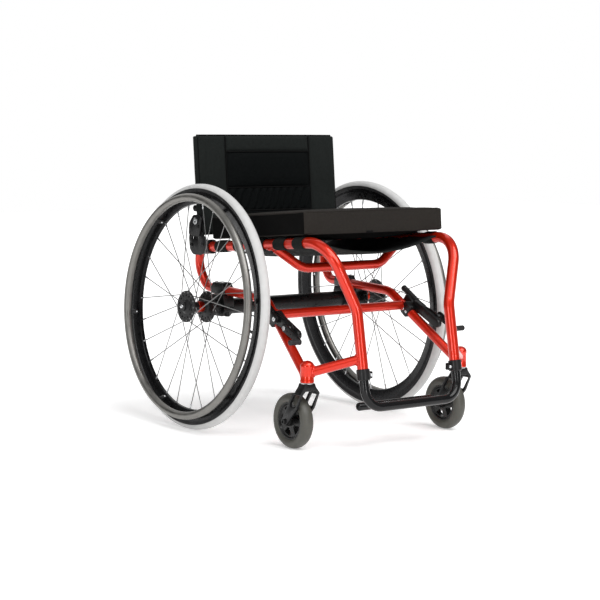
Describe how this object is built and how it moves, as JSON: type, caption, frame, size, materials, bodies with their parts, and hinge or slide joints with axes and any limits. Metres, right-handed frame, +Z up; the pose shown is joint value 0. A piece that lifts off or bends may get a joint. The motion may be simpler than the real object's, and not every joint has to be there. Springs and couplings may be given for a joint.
{
  "type": "manual wheelchair",
  "caption": "Rigid-frame manual wheelchair with cambered spoked rear wheels, handrims, front casters, tubular footrest, cushion, fold-down back and wheel locks.",
  "frame": {"origin": "middle of the chair's base on the floor, centre of the overall length and width", "axes": "+Z up, the user faces -Y, the user's left is +X"},
  "size_m": [0.6488, 0.8014, 0.7042],
  "materials": {
    "red_paint": "gloss candy red-orange paint",
    "black_metal": "satin black paint and anodising",
    "black_rim": "black anodised, semi-gloss",
    "bright_steel": "polished steel",
    "handrim_anodising": "grey-bronze anodised, satin",
    "grey_tyre": "pale grey tread with black sidewalls",
    "caster_tyre": "dark grey polyurethane",
    "black_plastic": "moulded nylon",
    "upholstery": "black woven nylon",
    "cushion_cover": "black stretch fabric"
  },
  "bodies": {
    "chassis": {"right_seat_rail": "red_paint", "left_seat_rail": "red_paint", "right_side_tube": "red_paint", "left_side_tube": "red_paint", "right_front_strut": "red_paint", "left_front_strut": "red_paint", "right_caster_housing": "red_paint", "left_caster_housing": "red_paint", "u_cross_tube": "red_paint", "lower_cross_tube": "red_paint", "camber_tube": "black_metal", "right_camber_plug": "black_metal", "left_camber_plug": "black_metal", "right_camber_clamp": "black_metal", "left_camber_clamp": "black_metal", "right_footrest_clamp": "black_metal", "left_footrest_clamp": "black_metal", "right_back_bracket": "black_metal", "left_back_bracket": "black_metal", "right_lock_clamp": "black_metal", "left_lock_clamp": "black_metal", "right_quick_release_axle": "bright_steel", "left_quick_release_axle": "bright_steel", "right_back_pivot_bolt": "bright_steel", "left_back_pivot_bolt": "bright_steel", "seat_sling": "upholstery", "seat_cushion": "cushion_cover"},
    "right_rear_wheel": {"right_wheel_tyre": "grey_tyre", "right_wheel_rim": "black_rim", "right_wheel_hub": "black_metal", "right_wheel_outer_spokes": "bright_steel", "right_wheel_inner_spokes": "bright_steel", "right_handrim": "handrim_anodising"},
    "right_button": {"right_axle_button": "bright_steel"},
    "right_caster_swivel": {"right_caster_fork": "black_metal", "right_caster_axle": "bright_steel"},
    "right_caster_roller": {"right_caster_tyre": "caster_tyre", "right_caster_wheel": "black_plastic"},
    "right_brake_lever": {"right_lock_lever": "black_plastic"},
    "right_brake_shoe": {"right_lock_shoe": "black_metal"},
    "left_rear_wheel": {"left_wheel_tyre": "grey_tyre", "left_wheel_rim": "black_rim", "left_wheel_hub": "black_metal", "left_wheel_outer_spokes": "bright_steel", "left_wheel_inner_spokes": "bright_steel", "left_handrim": "handrim_anodising"},
    "left_button": {"left_axle_button": "bright_steel"},
    "left_caster_swivel": {"left_caster_fork": "black_metal", "left_caster_axle": "bright_steel"},
    "left_caster_roller": {"left_caster_tyre": "caster_tyre", "left_caster_wheel": "black_plastic"},
    "left_brake_lever": {"left_lock_lever": "black_plastic"},
    "left_brake_shoe": {"left_lock_shoe": "black_metal"},
    "footrest": {"footrest_tube": "black_metal", "heel_bar": "black_metal"},
    "back": {"right_back_post": "black_metal", "left_back_post": "black_metal", "back_upholstery": "upholstery", "back_cross_bar": "black_metal"}
  },
  "joints": [
    {"name": "right_wheel_spin", "type": "hinge", "parent": "chassis", "child": "right_rear_wheel", "pos_m": [-0.266, 0.1058, 0.29431], "axis": [-0.9976, 0, 0.0698], "continuous": true},
    {"name": "right_button_press", "type": "slide", "parent": "chassis", "child": "right_button", "axis": [0.9976, 0, -0.0698], "range_m": [0, 0.0035], "stiffness_N_per_m": 600},
    {"name": "right_caster_turn", "type": "hinge", "parent": "chassis", "child": "right_caster_swivel", "pos_m": [-0.2295, -0.2912, 0.16], "axis": [0, 0, 1], "continuous": true},
    {"name": "right_caster_spin", "type": "hinge", "parent": "right_caster_swivel", "child": "right_caster_roller", "pos_m": [-0.2295, -0.2402, 0.0635], "axis": [1, 0, 0], "continuous": true},
    {"name": "right_lock_lever_turn", "type": "hinge", "parent": "chassis", "child": "right_brake_lever", "pos_m": [-0.224, -0.1622, 0.287], "axis": [1, 0, 0], "range_deg": [0, 75]},
    {"name": "right_lock_shoe_turn", "type": "hinge", "parent": "chassis", "child": "right_brake_shoe", "pos_m": [-0.234, -0.2122, 0.272], "axis": [1, 0, 0], "range_deg": [0, 88]},
    {"name": "left_wheel_spin", "type": "hinge", "parent": "chassis", "child": "left_rear_wheel", "pos_m": [0.266, 0.1058, 0.29431], "axis": [0.9976, 0, 0.0698], "continuous": true},
    {"name": "left_button_press", "type": "slide", "parent": "chassis", "child": "left_button", "axis": [-0.9976, 0, -0.0698], "range_m": [0, 0.0035], "stiffness_N_per_m": 600},
    {"name": "left_caster_turn", "type": "hinge", "parent": "chassis", "child": "left_caster_swivel", "pos_m": [0.2295, -0.2912, 0.16], "axis": [0, 0, 1], "continuous": true},
    {"name": "left_caster_spin", "type": "hinge", "parent": "left_caster_swivel", "child": "left_caster_roller", "pos_m": [0.2295, -0.2402, 0.0635], "axis": [1, 0, 0], "continuous": true},
    {"name": "left_lock_lever_turn", "type": "hinge", "parent": "chassis", "child": "left_brake_lever", "pos_m": [0.224, -0.1622, 0.287], "axis": [1, 0, 0], "range_deg": [0, 75]},
    {"name": "left_lock_shoe_turn", "type": "hinge", "parent": "chassis", "child": "left_brake_shoe", "pos_m": [0.234, -0.2122, 0.272], "axis": [1, 0, 0], "range_deg": [0, 88]},
    {"name": "footrest_height", "type": "slide", "parent": "chassis", "child": "footrest", "axis": [0, -0.1769, -0.9842], "range_m": [-0.012, 0.05]},
    {"name": "back_fold", "type": "hinge", "parent": "chassis", "child": "back", "pos_m": [0, 0.1788, 0.495], "axis": [1, 0, 0], "range_deg": [0, 62]}
  ],
  "couplings": [
    {"joint": "right_lock_shoe_turn", "follows": "right_lock_lever_turn", "ratio": 1.16},
    {"joint": "left_lock_shoe_turn", "follows": "left_lock_lever_turn", "ratio": 1.16}
  ]
}
